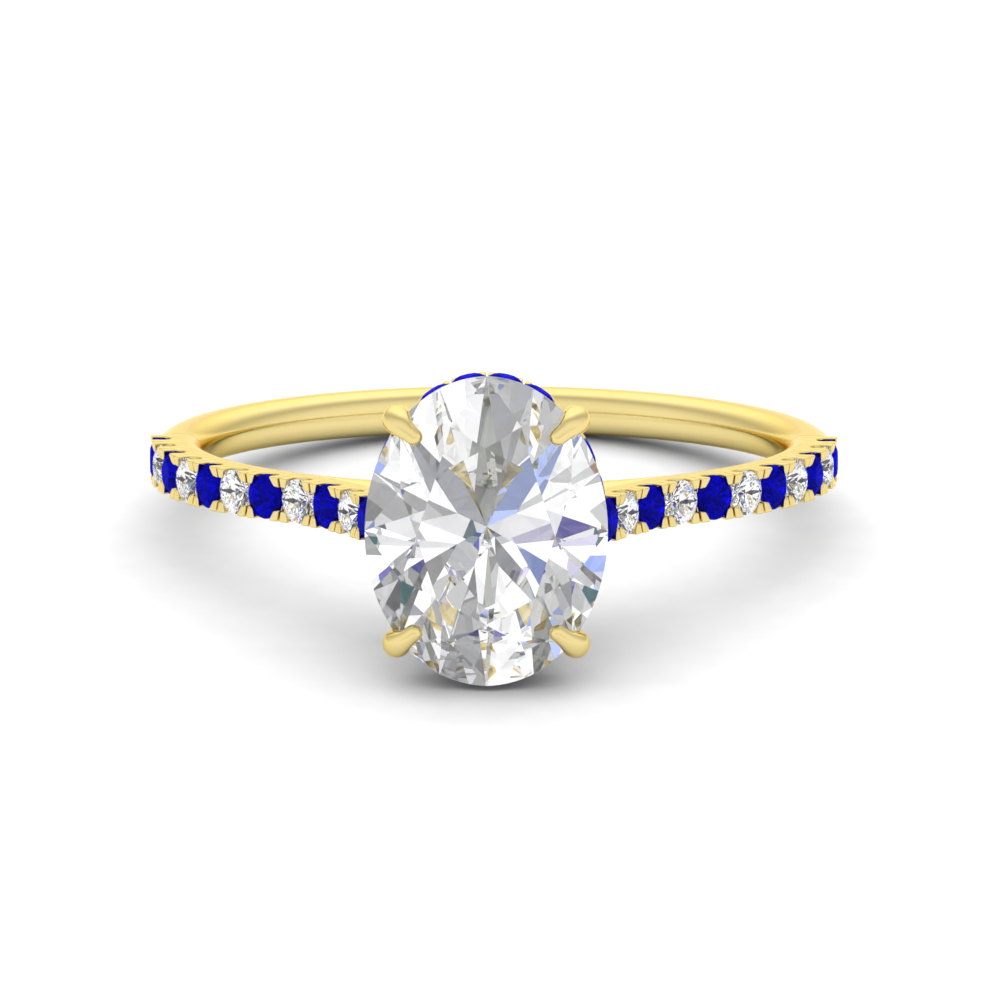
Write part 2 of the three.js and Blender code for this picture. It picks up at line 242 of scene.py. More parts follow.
class Oval:
    """An oval round the head, known by the distance along it from the +x end."""

    def __init__(self, half_width, half_length, height, **_):
        self.height = height
        turn = np.linspace(0, 2 * math.pi, 5761)
        self.x, self.z = half_width * np.cos(turn), half_length * np.sin(turn)
        steps = np.hypot(np.diff(self.x), np.diff(self.z))
        self.distances = np.concatenate([[0], np.cumsum(steps)])
        self.length = float(self.distances[-1])
        slope_x, slope_z = -half_width * np.sin(turn), half_length * np.cos(turn)
        size = np.hypot(slope_x, slope_z)
        self.out_x, self.out_z = slope_z / size, -slope_x / size

    def at(self, distance, out=0.0):
        """x, z and the outward direction at a distance, moved outwards."""
        wrapped = np.mod(distance, self.length)
        x, z, out_x, out_z = (
            np.interp(wrapped, self.distances, values)
            for values in (self.x, self.z, self.out_x, self.out_z)
        )
        return x + out * out_x, z + out * out_z, out_x, out_z

    def nearest(self, x, z):
        """Distance along the oval and distance outside it, for each point of a plane."""
        flat_x, flat_z = x.ravel(), z.ravel()
        best = np.empty(flat_x.size, int)
        coarse = slice(0, -1, 8)
        for start in range(0, flat_x.size, 4096):
            part = slice(start, start + 4096)
            gap = (flat_x[part, None] - self.x[None, coarse]) ** 2
            gap += (flat_z[part, None] - self.z[None, coarse]) ** 2
            best[part] = np.argmin(gap, axis=1) * 8
        dx, dz = flat_x - self.x[best], flat_z - self.z[best]
        along = -dx * self.out_z[best] + dz * self.out_x[best]
        out = dx * self.out_x[best] + dz * self.out_z[best]
        return (self.distances[best] + along).reshape(x.shape), out.reshape(x.shape)


HALO_OVAL = Oval(**HALO)
BASE_OVAL = Oval(**BASE_RAIL)
HALO_QUARTER = HALO_OVAL.length / 4
CLAW_DISTANCE = (2.5 * HALO_SIDE_PITCH + HALO_QUARTER - 2 * HALO_END_PITCH) / 2


def halo_groups():
    """Each side and end of the halo as its middle, count of stones, and pitch."""
    for quarter in range(4):
        on_side = quarter % 2 == 0
        yield (
            quarter * HALO_QUARTER,
            5 if on_side else 4,
            HALO_SIDE_PITCH if on_side else HALO_END_PITCH,
        )


HALO_STONES = [
    middle + (i - (count - 1) / 2) * pitch
    for middle, count, pitch in halo_groups()
    for i in range(count)
]
# Where two stones meet, or a row ends: the distance, and the side its leaves stand on (0 for both).
HALO_JOINTS = [
    (middle + (i - count / 2) * pitch, 1 if i == 0 else -1 if i == count else 0)
    for middle, count, pitch in halo_groups()
    for i in range(count + 1)
]
ROW_JOINTS = [((i - 0.5) * ROW_PITCH, 1 if i == 0 else 0) for i in range(ROW_STONES)]
# Along the row, from its last stone.
PLAIN_FROM = -0.6  # where it takes the plain band's section
ROW_START = -0.9
TUCK = 0.004  # how much smaller it is than the plain band it runs into
RAIL_LAP = 0.12  # how far the shoulder runs up behind the halo rail


# ------------------------------------------------------------------ fields: negative is gold
def soft_max(a, b, k):
    """The larger of two fields, blended where they differ by less than k."""
    h = np.maximum(k - np.abs(a - b), 0) / k
    return np.maximum(a, b) + h * h * k / 4


def soft_min(a, b, k):
    return -soft_max(-a, -b, k)


def rounded_box(sizes, corner):
    """A box's field from |position| - half size along each axis, with rounded corners."""
    raised = [size + corner for size in sizes]
    outside = sum(np.maximum(r, 0) ** 2 for r in raised)
    inside = raised[0]
    for r in raised[1:]:
        inside = np.maximum(inside, r)
    return np.sqrt(outside) + np.minimum(inside, 0) - corner


def stone_field(from_axis, up, radius, crown, pavilion, girdle, grow=0.0):
    """A round stone on its seat, open upwards past the table."""
    table = SMALL_CUT["table"] * radius
    below = (from_axis / radius + (-up - girdle) / (pavilion - girdle) - 1) / math.hypot(
        1 / radius, 1 / (pavilion - girdle)
    )
    slope = (radius - table) / (crown - girdle)
    above = (from_axis + (up - girdle) * slope - radius) / math.hypot(1, slope)
    return np.maximum(np.maximum(below, above), from_axis - radius) - grow


def offset_from(distance, along, period):
    """How far along a place is past a distance, the short way round on a closed bar."""
    gap = along - distance
    return gap if period is None else (gap + period / 2) % period - period / 2


def from_nearest_stone(along, stones, period):
    """Distance along the bar past the middle of the nearest stone."""
    nearest = offset_from(stones[0], along, period)
    for distance in stones[1:]:
        other = offset_from(distance, along, period)
        nearest = np.where(np.abs(other) < np.abs(nearest), other, nearest)
    return nearest


def from_nearest_joint(along, joints, period):
    """Distance past the nearest joint, positive on the side where its leaves stand."""
    nearest = np.full(along.shape, 9.0)
    for distance, way in joints:
        gap = offset_from(distance, along, period)
        gap = np.abs(gap) if way == 0 else gap * way
        nearest = np.where(np.abs(gap) < np.abs(nearest), gap, nearest)
    return nearest


def bar_field(edge, up, style):
    """The plain bar, with its own corner radius above and below its middle."""
    beside = edge - style["half_width"]
    raised = up - (style["top"] + style["bottom"]) / 2
    beyond = np.abs(raised) - (style["top"] - style["bottom"]) / 2
    upper = rounded_box([beside, beyond], style["top_corner"])
    lower = rounded_box([beside, beyond], style["bottom_corner"])
    return np.where(raised > 0, upper, lower)


def leaf_field(from_joint, edge, up, style):
    """One of the two leaves of a split prong, narrower lower down and away from the edge."""
    half_width, width = style["half_width"], style["leaf_across"]
    top, foot = style["leaf_top"], style["leaf_foot"]
    inwards = np.clip((half_width - edge) / width, 0, 1.2)
    half = style["leaf_along"] / 2 * (1 - 0.55 * (top - up)) * (1 - 0.4 * inwards)
    leaning = up + style["leaf_lean"] * inwards
    sizes = [
        np.abs(from_joint - style["slit"] / 2 - half) - half,
        np.abs(edge - (half_width - width / 2)) - width / 2,
        np.abs(leaning - (top + foot) / 2) - (top - foot) / 2,
    ]
    return rounded_box(sizes, style["leaf_corner"])


def pave_field(along, across, up, stones, joints, period, stone, style):
    """Gold of a stone-set bar: seats, U-shaped cuts at its edges and split prongs.
    along, across and up broadcast to a grid; up is 0 at the girdles."""
    from_stone = from_nearest_stone(along, stones, period)
    from_joint = from_nearest_joint(along, joints, period)
    edge = np.abs(across)

    notch = np.hypot(from_stone, np.minimum(up - style["notch_up"], 0)) - style["notch_radius"]
    notch = np.maximum(notch, style["notch_inset"] - edge)
    gold = soft_max(bar_field(edge, up, style), -notch, 0.05)
    gold = soft_min(gold, leaf_field(from_joint, edge, up, style), 0.04)
    slit = np.maximum(np.abs(from_joint) - style["slit"] / 2, -(up + style["slit_depth"]))
    slit = np.maximum(slit, style["slit_inset"] - edge)
    gold = soft_max(gold, -slit, 0.02)
    seat = stone_field(np.hypot(from_stone, across), up, **stone, grow=SEAT_GAP)
    return soft_max(gold, -seat, 0.015)


SEAT_GAP = 0.012  # between a stone and its seat
# The two stone-set bars. Heights are from the girdles, and insets from the bar's middle line.
# A notch is the U cut in an edge beside a stone, and two leaves with a slit between make a prong.
ROW_STYLE = dict(
    half_width=BAND_WIDTH / 2,
    top=-0.04,
    bottom=FINGER_RADIUS - ROW_RADIUS,
    top_corner=0.3,
    bottom_corner=0.6,
    notch_up=0.02,
    notch_radius=0.43,
    notch_inset=0.36,
    leaf_along=0.37,
    leaf_across=0.34,
    leaf_corner=0.07,
    leaf_top=0.195,
    leaf_foot=-0.8,
    leaf_lean=0.07,
    slit=0.05,
    slit_depth=0.3,
    slit_inset=0.22,
)
HALO_STYLE = dict(
    half_width=HALO_RAIL_HEIGHT / 2,
    top=-0.04,
    bottom=-0.04 - HALO_RAIL_DEPTH,
    top_corner=0.06,
    bottom_corner=0.12,
    notch_up=0.0,
    notch_radius=0.36,
    notch_inset=0.32,
    leaf_along=0.25,
    leaf_across=0.27,
    leaf_corner=0.05,
    leaf_top=0.135,
    leaf_foot=-0.5,
    leaf_lean=0.05,
    slit=0.05,
    slit_depth=0.1,
    slit_inset=0.3,
)


# ------------------------------------------------------------------ gold pieces
def ease(value):
    """0 to 1, with a smooth start and end."""
    value = np.clip(value, 0, 1)
    return value * value * (3 - 2 * value)


def make_row(side_name, side, material):
    """One shoulder: the stone-set half of the band, from the plain back up to the halo rail."""
    # The samples reach a little past the gold on every side.
    distances = np.arange(ROW_START - 0.05, 14.1, 0.022)
    across = np.arange(-0.78, 0.79, 0.025)
    out = np.arange(-1.5, 0.33, 0.025)
    grid = np.meshgrid(distances, across, out, indexing="ij", sparse=True)
    along, beside, up = [axis.astype(np.float32) for axis in grid]
    style = dict(ROW_STYLE)
    leave = ease((along - ROUND_LENGTH) / 1.5)
    style["bottom"] = ROW_STYLE["bottom"] + leave * (-SHOULDER_DEPTH - ROW_STYLE["bottom"])
    plain = ease((PLAIN_FROM - along) / 0.2)
    plain_top = BAND_OUTER_RADIUS - ROW_RADIUS
    style["top"] = ROW_STYLE["top"] + plain * (plain_top - ROW_STYLE["top"])
    style["top_corner"] = ROW_STYLE["top_corner"] + plain * (BAND_CORNER - ROW_STYLE["top_corner"])
    stones = [i * ROW_PITCH for i in range(ROW_STONES)]
    gold = pave_field(along, beside, up, stones, ROW_JOINTS, None, ROW_STONE, style)
    rail_foot = HALO["height"] - HALO_RAIL_HEIGHT / 2
    heights = -row_line(along, up, 0.0, side)[..., 1]
    gold = np.maximum(gold, heights - (rail_foot + RAIL_LAP))
    gold = np.maximum(gold + TUCK * plain, ROW_START - along)

    def place(p):
        return row_line(p[:, 0], p[:, 2], p[:, 1], side)

    points, quads = surface_of(gold, (distances, across, out), place)
    obj = new_object("shoulder_" + side_name, to_world(points), quads)
    return finish_piece(obj, material, "yellow_gold", "shank")


def rounded_loop(width, height, corner, per_corner=10):
    """A rounded rectangle as a closed loop of (across, out) points about its middle."""
    loop = []
    for quarter in range(4):
        sign_x = 1 if quarter in (0, 3) else -1
        sign_y = 1 if quarter in (0, 1) else -1
        for i in range(per_corner + 1):
            angle = math.pi / 2 * (quarter + i / per_corner)
            loop.append(
                (
                    sign_x * (width / 2 - corner) + corner * math.cos(angle),
                    sign_y * (height / 2 - corner) + corner * math.sin(angle),
                )
            )
    return np.array(loop)


def make_hoop(name, material, inner, outer, width, corner, start, end, thin_ends=0.0):
    """A stretch of band about the finger. thin_ends takes that much off its outside near its
    ends, where it runs on under the stones."""
    middle = (inner + outer) / 2
    half = (outer - inner) / 2
    loop = rounded_loop(width, outer - inner, corner)

    def section(angle):
        across, out = loop.T
        near_end = np.clip((min(angle - start, end - angle) - THIN_TO) / THIN_OVER, 0, 1)
        radius = middle + out - thin_ends * (1 - near_end) * np.maximum(out, 0) / half
        return np.stack([radius * math.sin(angle), -radius * math.cos(angle), across], axis=-1)

    points, faces = swept_ring(section, np.linspace(start, end, 240), closed=False)
    obj = new_object(name, to_world(points), faces)
    return finish_piece(obj, material, "yellow_gold", "shank")


def outside_stone(x, y, z, stone_planes):
    """Distance outside the centre stone's facets; negative inside it."""
    stone = None
    for normal, reach in stone_planes:
        plane = x * normal[0] + y * normal[1] + z * normal[2] - reach
        stone = plane if stone is None else np.maximum(stone, plane)
    return stone


def make_halo_rail(stone_planes, material):
    """The oval band of the halo, hollowed where the centre stone passes through it."""
    step = 0.03
    x_axis = np.arange(-3.63, 3.64, step)
    z_axis = np.arange(-4.59, 4.6, step)
    rises = np.arange(-0.66, 0.67, step)
    x, z = np.meshgrid(x_axis, z_axis, indexing="ij")
    along, out = HALO_OVAL.nearest(x, z)
    along, out = (values.astype(np.float32)[:, :, None] for values in (along, out))
    across = rises.astype(np.float32)[None, None, :]
    gold = pave_field(
        along, across, out, HALO_STONES, HALO_JOINTS, HALO_OVAL.length, HALO_STONE, HALO_STYLE
    )
    beside_x, beside_z = (axis.astype(np.float32)[:, :, None] for axis in (x, z))
    stone = outside_stone(beside_x, -(HALO["height"] + across), beside_z, stone_planes)
    gold = soft_max(gold, 0.02 - stone, 0.02)

    def place(p):
        return np.stack([p[:, 0], -(HALO["height"] + p[:, 2]), p[:, 1]], axis=-1)

    points, quads = surface_of(gold, (x_axis, z_axis, rises), place)
    obj = new_object("halo_rail_gold", to_world(points), quads)
    return finish_piece(obj, material, "yellow_gold", "halo_rail")


def make_base_rail(material):
    """The round wire oval that the claws' legs stand on."""
    wire = BASE_RAIL["wire"]
    turns = [2 * math.pi * i / 24 for i in range(24)]

    def section(distance):
        x, z, out_x, out_z = BASE_OVAL.at(distance)
        return np.array(
            [
                (
                    x + wire * math.cos(a) * out_x,
                    -(BASE_OVAL.height + wire * math.sin(a)),
                    z + wire * math.cos(a) * out_z,
                )
                for a in turns
            ]
        )

    stations = [BASE_OVAL.length * i / 120 for i in range(120)]
    points, faces = swept_ring(section, stations, closed=True)
    obj = new_object("base_rail_gold", to_world(points), faces)
    return finish_piece(obj, material, "yellow_gold", "base_rail")


def smooth_path(points, per_span):
    """A Catmull-Rom curve through points of any dimension."""
    points = np.asarray(points, float)
    ends = np.vstack([2 * points[0] - points[1], points, 2 * points[-1] - points[-2]])
    path = []
    for i in range(len(points) - 1):
        p0, p1, p2, p3 = ends[i : i + 4]
        for t in np.arange(per_span) / per_span:
            path.append(
                0.5
                * (
                    2 * p1
                    + (p2 - p0) * t
                    + (2 * p0 - 5 * p1 + 4 * p2 - p3) * t * t
                    + (3 * p1 - p0 - 3 * p2 + p3) * t**3
                )
            )
    return np.array(path + [points[-1]])


def chain_field(x, y, z, balls):
    """Distance to a chain of balls, each joined to the next by a tapered rod."""
    field = np.full(np.broadcast(x, y, z).shape, 9.0, np.float32)
    for (ax, ay, az, ra), (bx, by, bz, rb) in zip(balls[:-1], balls[1:]):
        dx, dy, dz = bx - ax, by - ay, bz - az
        size = dx * dx + dy * dy + dz * dz
        t = np.clip(((x - ax) * dx + (y - ay) * dy + (z - az) * dz) / size, 0, 1)
        gap = np.sqrt((x - ax - t * dx) ** 2 + (y - ay - t * dy) ** 2 + (z - az - t * dz) ** 2)
        field = np.minimum(field, gap - (ra + t * (rb - ra)))
    return field


def make_claw(name, distance, stone_planes, material):
    """A claw and its leg, from the base rail up and over the centre stone's edge."""
    foot_x, foot_z, _, _ = BASE_OVAL.at(distance * BASE_OVAL.length / HALO_OVAL.length)
    spine = [(foot_x, -BASE_OVAL.height, foot_z, CLAW_FOOT_RADIUS)]
    for out, height, radius in CLAW_SPINE:
        x, z, _, _ = HALO_OVAL.at(distance, out)
        spine.append((x, -height, z, radius))
    balls = smooth_path(spine, 6)
    step = 0.03
    lows = (balls[:, :3] - balls[:, 3:]).min(0) - 3 * step
    highs = (balls[:, :3] + balls[:, 3:]).max(0) + 3 * step
    axes = [np.arange(low, high, step) for low, high in zip(lows, highs)]
    x, y, z = (g.astype(np.float32) for g in np.meshgrid(*axes, indexing="ij", sparse=True))
    gold = chain_field(x, y, z, balls)
    gold = soft_max(gold, 0.01 - outside_stone(x, y, z, stone_planes), 0.02)
    points, quads = surface_of(gold, axes, lambda p: p)
    obj = new_object(name + "_gold", to_world(points), quads)
    return finish_piece(obj, material, "yellow_gold", name)


# ------------------------------------------------------------------ cut stones
def plane_through(a, b, c):
    """(unit normal, reach) of the plane through three points, facing away from the axis."""
    normal = np.cross(b - a, c - a)
    normal /= np.linalg.norm(normal)
    if normal @ a < 0:
        normal = -normal
    return normal, float(normal @ a)


def brilliant_planes(crown, pavilion, girdle, table, star, lower):
    """The facets of a round brilliant of radius 1, table up, as (unit normal, reach)."""

    def ring(radius, height, turn):
        return np.array([radius * math.cos(turn), radius * math.sin(turn), height])

    step = math.pi / 8
    side = math.cos(step)
    star_height = girdle + (crown - girdle) * (1 - star * side) / (1 - table)
    lower_height = -girdle - (pavilion - girdle) * (1 - lower * side)
    point = np.array([0, 0, -pavilion])
    planes = [(np.array([0, 0, 1.0]), crown)]
    for k in range(8):
        turn = 2 * step * k
        corner, next_corner = ring(table, crown, turn), ring(table, crown, turn + 2 * step)
        tip, before = ring(star, star_height, turn + step), ring(star, star_height, turn - step)
        rim = ring(1, girdle, turn)
        planes.append(plane_through(corner, next_corner, tip))
        planes.append(plane_through(corner, rim, tip))
        planes.append(plane_through(tip, rim, ring(1, girdle, turn + step)))
        planes.append(plane_through(before, rim, ring(1, girdle, turn - step)))
        low_rim = ring(1, -girdle, turn)
        low = ring(lower, lower_height, turn + step)
        low_before = ring(lower, lower_height, turn - step)
        planes.append(plane_through(point, low_rim, low))
        planes.append(plane_through(low, low_rim, ring(1, -girdle, turn + step)))
        planes.append(plane_through(low_before, low_rim, ring(1, -girdle, turn - step)))
    return planes


def cut_brilliant(planes, girdle_sides):
    """A prism of radius 1 cut down by every facet's plane, as (vertices, faces)."""
    shape = bmesh.new()
    turns = [2 * math.pi * (i + 0.5) / girdle_sides for i in range(girdle_sides)]
    tall = 2 + max(abs(reach) for _, reach in planes)
    lower = [shape.verts.new((math.cos(t), math.sin(t), -tall)) for t in turns]
    upper = [shape.verts.new((math.cos(t), math.sin(t), tall)) for t in turns]
    shape.faces.new(lower[::-1])
    shape.faces.new(upper)
    for i in range(girdle_sides):
        j = (i + 1) % girdle_sides
        shape.faces.new((lower[i], lower[j], upper[j], upper[i]))
    for normal, reach in planes:
        everything = shape.verts[:] + shape.edges[:] + shape.faces[:]
        bmesh.ops.bisect_plane(
            shape,
            geom=everything,
            dist=1e-7,
            plane_co=Vector(normal * reach),
            plane_no=Vector(normal),
            clear_outer=True,
        )
        rim = [edge for edge in shape.edges if edge.is_boundary]
        if rim:
            bmesh.ops.contextual_create(shape, geom=rim)
    bmesh.ops.remove_doubles(shape, verts=shape.verts[:], dist=1e-5)
    bmesh.ops.recalc_face_normals(shape, faces=shape.faces[:])
    shape.verts.index_update()
    vertices = np.array([vertex.co[:] for vertex in shape.verts])
    faces = [[vertex.index for vertex in face.verts] for face in shape.faces]
    shape.free()
    return vertices, faces


GOLDEN_STEP = 0.618034  # keeps the numbers of neighbouring facets apart


def set_stone(name, cut, spot, scale, material, slot):
    """A cut stone at a spot (centre, along, normal): its table faces along the normal. Each facet
    gets its own number, and a mark unless it is on the crown."""
    vertices, faces = cut
    centre, along, normal = (np.asarray(v, float) for v in spot)
    across = np.cross(normal, along)
    local = vertices * np.asarray(scale)
    points = local[:, :1] * along + local[:, 1:2] * across + local[:, 2:] * normal + centre
    obj = new_object(name + "_cut", to_world(points), faces, smooth=False)
    numbers = obj.data.attributes.new("facet", "FLOAT", "FACE")
    numbers.data.foreach_set("value", [(i * GOLDEN_STEP) % 1.0 for i in range(len(faces))])
    below = obj.data.attributes.new("pavilion", "FLOAT", "FACE")
    heights = [vertices[face, 2].mean() for face in faces]
    below.data.foreach_set("value", [1.0 if height < 0.01 else 0.0 for height in heights])
    return finish_piece(obj, material, slot, name)


def row_stone_spot(distance, side):
    """Where a shoulder's stone sits, as set_stone takes it."""
    here = row_line(np.array(distance), 0.0, 0.0, side)
    near = row_line(np.array(distance + 1e-4), 0.0, 0.0, side)
    outward = row_line(np.array(distance), 1.0, 0.0, side)
    along = (near - here) / np.linalg.norm(near - here)
    return here, along, outward - here


def halo_stone_spot(distance):
    """Where a halo stone sits, as set_stone takes it."""
    x, z, out_x, out_z = HALO_OVAL.at(distance)
    return (x, -HALO["height"], z), (-out_z, 0, out_x), (out_x, 0, out_z)


# ------------------------------------------------------------------ materials
def node_material(name):
    """A new material, with its nodes, links and main shader."""
    material = bpy.data.materials.new(name)
    material.use_nodes = True
    nodes, links = material.node_tree.nodes, material.node_tree.links
    return material, nodes, links, nodes["Principled BSDF"]


def noise(nodes, links, coordinates, scale, detail=3.0, roughness=0.5):
    texture = nodes.new("ShaderNodeTexNoise")
    texture.inputs["Scale"].default_value = scale
    texture.inputs["Detail"].default_value = detail
    texture.inputs["Roughness"].default_value = roughness
    links.new(coordinates, texture.inputs["Vector"])
    return texture.outputs["Fac"]


def spread(nodes, links, value, low, high):
    """Noise stretched to run from low to high."""
    ranged = nodes.new("ShaderNodeMapRange")
    ranged.inputs["From Min"].default_value = 0.3
    ranged.inputs["From Max"].default_value = 0.7
    ranged.inputs["To Min"].default_value = low
    ranged.inputs["To Max"].default_value = high
    links.new(value, ranged.inputs["Value"])
    return ranged.outputs["Result"]


def ramp(nodes, links, value, stops, interpolation="LINEAR"):
    """A colour by a value, from stops of (position, colour)."""
    node = nodes.new("ShaderNodeValToRGB")
    node.color_ramp.interpolation = interpolation
    elements = node.color_ramp.elements
    while len(elements) < len(stops):
        elements.new(0.5)
    for element, (position, colour) in zip(elements, stops):
        element.position = position
        element.color = (*colour, 1.0)
    links.new(value, node.inputs["Fac"])
    return node.outputs["Color"]


def math_node(nodes, links, kind, a, b=None, c=None):
    node = nodes.new("ShaderNodeMath")
    node.operation = kind
    for socket, value in zip(node.inputs, (a, b, c)):
        if value is None:
            continue
        if hasattr(value, "default_value") or hasattr(value, "links"):
            links.new(value, socket)
        else:
            socket.default_value = value
    return node.outputs[0]


def mix_shaders(nodes, links, share, first, second):
    mix = nodes.new("ShaderNodeMixShader")
    links.new(share, mix.inputs["Fac"])
    links.new(first, mix.inputs[1])
    links.new(second, mix.inputs[2])
    return mix.outputs["Shader"]


def gold_material():
    """Polished yellow gold: slight tone change, buffing haze and hairline polishing marks."""
    material, nodes, links, shader = node_material("yellow_gold_polished")
    place = nodes.new("ShaderNodeNewGeometry").outputs["Position"]
    tone = noise(nodes, links, place, 260.0, 2.0)
    colour = ramp(nodes, links, tone, [(0.3, (0.755, 0.615, 0.265)), (0.7, (0.785, 0.64, 0.285))])
    links.new(colour, shader.inputs["Base Color"])
    shader.inputs["Specular Tint"].default_value = (1.0, 0.86, 0.5, 1.0)
    shader.inputs["Metallic"].default_value = 1.0
    haze = noise(nodes, links, place, 900.0, 4.0)
    links.new(spread(nodes, links, haze, 0.11, 0.17), shader.inputs["Roughness"])
    stretch = nodes.new("ShaderNodeMapping")
    stretch.inputs["Scale"].default_value = (1.0, 1.0, 14.0)
    links.new(place, stretch.inputs["Vector"])
    marks = noise(nodes, links, stretch.outputs["Vector"], 2600.0, 3.0, 0.65)
    bump = nodes.new("ShaderNodeBump")
    bump.inputs["Strength"].default_value = 0.05
    bump.inputs["Distance"].default_value = 0.00001
    links.new(marks, bump.inputs["Height"])
    links.new(bump.outputs["Normal"], shader.inputs["Normal"])
    return material


WHITE = (1.0, 1.0, 1.0)
# SKIN is the tone of light through a facet, by the facet's own number. The pavilion facets seen
# from inside mirror in painted tones, also by the facet's number: painted reflection and painted
# shade, white, grey, dark and tinted facets standing in for a cut stone's mosaic and fire. SHEEN is
# the strength of reflections off the outside, and SHADE the light that each surface lets through to a
# shadow.
DIAMOND_SKIN = [(0.0, (0.99, 0.99, 1.0)), (1.0, WHITE)]
DIAMOND_SHEEN = (0.4, 0.4, 0.4)
DIAMOND_SHADE = (0.5, 0.5, 0.5)
DIAMOND_PAINTED_FACETS = [
    (0.0, WHITE),
    (0.2, (0.55, 0.55, 0.55)),
    (0.3, WHITE),
    (0.43, (0.5, 0.51, 0.48)),
    (0.5, WHITE),
    (0.62, (0.7, 0.7, 0.71)),
    (0.72, WHITE),
    (0.83, (0.5, 0.6, 0.98)),
    (0.87, (0.36, 0.37, 0.4)),
    (0.93, (0.76, 0.7, 0.92)),
    (0.97, (0.85, 0.72, 0.58)),
]
# Painted reflection and painted shade for the small diamonds' pavilion facets: white, grey and
# near-black by facet.
MELEE_PAINTED_FACETS = [
    (0.0, WHITE),
    (0.3, (0.4, 0.4, 0.41)),
    (0.38, WHITE),
    (0.7, (0.12, 0.12, 0.13)),
    (0.76, WHITE),
]
SAPPHIRE_SKIN = [(0.0, (0.02, 0.02, 0.84)), (1.0, (0.06, 0.06, 1.0))]
SAPPHIRE_SHEEN = (0.05, 0.05, 0.8)
SAPPHIRE_SHADE = (0.05, 0.05, 0.8)
# Painted reflection and painted shade for the sapphires' pavilion facets: dark, pale and white tones by
# facet.
SAPPHIRE_PAINTED_FACETS = [
    (0.0, (0.2, 0.2, 0.35)),
    (0.25, (0.6, 0.6, 0.75)),
    (0.5, (1.0, 1.0, 1.0)),
    (0.7, (0.35, 0.35, 0.5)),
    (0.85, (0.9, 0.9, 1.0)),
]
MOST_TURNS = 5.5  # after so many, a ray inside leaves at the next crown facet


def gem_material(name, ior, skin, inside, sheen, roughness, shade):
    """A cut stone of bending and mirroring glass. Each facet has its own slight tone. Light
    inside is thrown back by every pavilion facet, as in a well cut stone, and leaves by the
    crown; the pavilion facets mirror in painted tones by facet, a painted reflection and painted shade."""
    material, nodes, links, unused = node_material(name)
    nodes.remove(unused)
    facet = nodes.new("ShaderNodeAttribute")
    facet.attribute_name = "facet"
    geometry = nodes.new("ShaderNodeNewGeometry")
    polish = noise(nodes, links, geometry.outputs["Position"], 3000.0, 2.0)
    haze = spread(nodes, links, polish, 0.0, roughness)

    bend = nodes.new("ShaderNodeBsdfRefraction")
    bend.inputs["IOR"].default_value = ior
    links.new(haze, bend.inputs["Roughness"])
    links.new(ramp(nodes, links, facet.outputs["Fac"], skin), bend.inputs["Color"])
    gloss = nodes.new("ShaderNodeBsdfGlossy")
    outside_and_in = [(0.0, sheen), (1.0, skin[-1][1])]
    sheens = ramp(nodes, links, geometry.outputs["Backfacing"], outside_and_in)
    links.new(sheens, gloss.inputs["Color"])
    links.new(haze, gloss.inputs["Roughness"])
    fresnel = nodes.new("ShaderNodeFresnel")
    fresnel.inputs["IOR"].default_value = ior
    glass = mix_shaders(
        nodes, links, fresnel.outputs["Fac"], bend.outputs["BSDF"], gloss.outputs["BSDF"]
    )

    # The pavilion facets' mirror colours are painted: painted reflection and painted shade, one tone
    # per facet.
    mirror = nodes.new("ShaderNodeBsdfGlossy")
    mirror.inputs["Roughness"].default_value = 0.0
    painted_facet_shades = ramp(nodes, links, facet.outputs["Fac"], inside, "CONSTANT")
    links.new(painted_facet_shades, mirror.inputs["Color"])
    pavilion = nodes.new("ShaderNodeAttribute")
    pavilion.attribute_name = "pavilion"
    thrown_back = math_node(
        nodes, links, "MULTIPLY", geometry.outputs["Backfacing"], pavilion.outputs["Fac"]
    )
    ray = nodes.new("ShaderNodeLightPath")
    turned = math_node(nodes, links, "GREATER_THAN", ray.outputs["Ray Depth"], MOST_TURNS)
    leaves = math_node(nodes, links, "MULTIPLY", geometry.outputs["Backfacing"], turned)
    clear = nodes.new("ShaderNodeBsdfTransparent")
    crown = mix_shaders(nodes, links, leaves, glass, clear.outputs["BSDF"])
    stone = mix_shaders(nodes, links, thrown_back, crown, mirror.outputs["BSDF"])
    veil = nodes.new("ShaderNodeBsdfTransparent")
    veil.inputs["Color"].default_value = (*shade, 1.0)
    stone = mix_shaders(nodes, links, ray.outputs["Is Shadow Ray"], stone, veil.outputs["BSDF"])
    links.new(stone, nodes["Material Output"].inputs["Surface"])
    return material


# ------------------------------------------------------------------ studio
FLOOR_RADIUS = 0.8
FLOOR_DROP = 2e-6  # below the ring


def make_floor():
    """A disc of matt white paper."""
    turns = [2 * math.pi * i / 96 for i in range(96)]
    rim = [
        (FLOOR_RADIUS * math.cos(t), FLOOR_RADIUS * math.sin(t), -FLOOR_DROP) for t in turns
    ]
    floor = new_object("floor", rim, [range(96)])
    material, nodes, links, shader = node_material("floor_paper")
    place = nodes.new("ShaderNodeNewGeometry").outputs["Position"]
    grain = noise(nodes, links, place, 900.0, 4.0)
    colour = ramp(nodes, links, grain, [(0.3, (0.83, 0.83, 0.83)), (0.7, (0.86, 0.86, 0.86))])
    links.new(colour, shader.inputs["Base Color"])
    shader.inputs["Roughness"].default_value = 0.7
    shader.inputs["Specular IOR Level"].default_value = 0.1
    floor.data.materials.append(material)


LAMP_AIM = (0, 0.766, 0.643)
